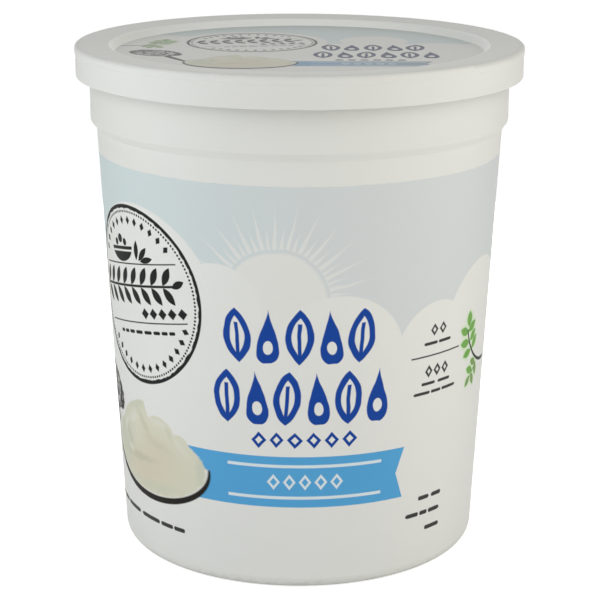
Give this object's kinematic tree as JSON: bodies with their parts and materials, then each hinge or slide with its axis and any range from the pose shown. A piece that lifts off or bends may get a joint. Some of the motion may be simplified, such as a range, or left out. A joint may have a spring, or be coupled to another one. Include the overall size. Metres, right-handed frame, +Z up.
{
  "type": "yogurt pot",
  "caption": "Shut round dairy food pot with tapered wall, collar below the rim, and press-on lid with a raised border round a sunk printed panel.",
  "frame": {"origin": "centre of the base, on the surface that the pot stands on", "axes": "+Z up along the pot's axis; the printed front faces -Y"},
  "size_m": [0.115, 0.115, 0.1315],
  "materials": {
    "pot_plastic": "satin moulded white plastic, printed on its tapered wall with a pale blue sky, white clouds and dark blue shapes",
    "lid_plastic": "satin moulded white plastic, printed on its sunk panel with the same motifs"
  },
  "bodies": {
    "root": {"pot": "pot_plastic", "lid": "lid_plastic"}
  },
  "joints": []
}
